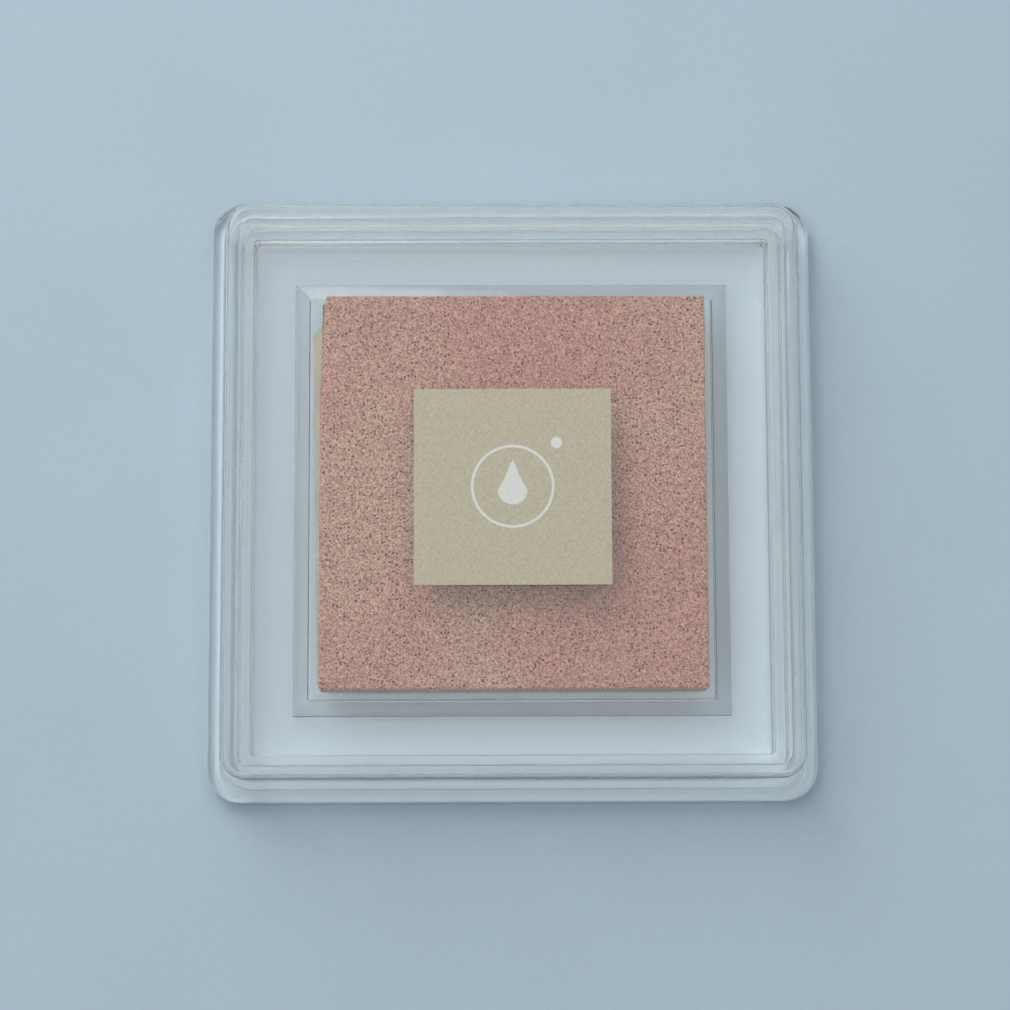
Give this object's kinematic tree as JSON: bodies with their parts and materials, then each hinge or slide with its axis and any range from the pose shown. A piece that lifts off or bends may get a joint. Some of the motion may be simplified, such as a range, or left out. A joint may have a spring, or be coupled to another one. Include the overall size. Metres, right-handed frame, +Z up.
{
  "type": "ink pad",
  "caption": "Square foam ink pad on the raised platform of a clear moulded base, under a clear lift-off lid with a small square label.",
  "frame": {"origin": "middle of the square footprint, at the height of the surface the base stands on", "axes": "+Z up, the way the lid lifts off; +X to the right and -Y to the front as the label is read; the gate mark is in the +X +Y corner"},
  "size_m": [0.06, 0.06, 0.0113],
  "materials": {
    "clear_base": "gloss",
    "adhesive_sheet": "matte",
    "inked_foam": "matte",
    "clear_lid": "gloss",
    "label_paper": "satin"
  },
  "bodies": {
    "base": {"base_tray": "clear_base", "pad_adhesive": "adhesive_sheet", "foam_pad": "inked_foam"},
    "cover": {"lid": "clear_lid", "label": "label_paper"}
  },
  "joints": [
    {"name": "lid_lift", "type": "slide", "parent": "base", "child": "cover", "axis": [0, 0, 1], "range_m": [0, 0.03]}
  ]
}
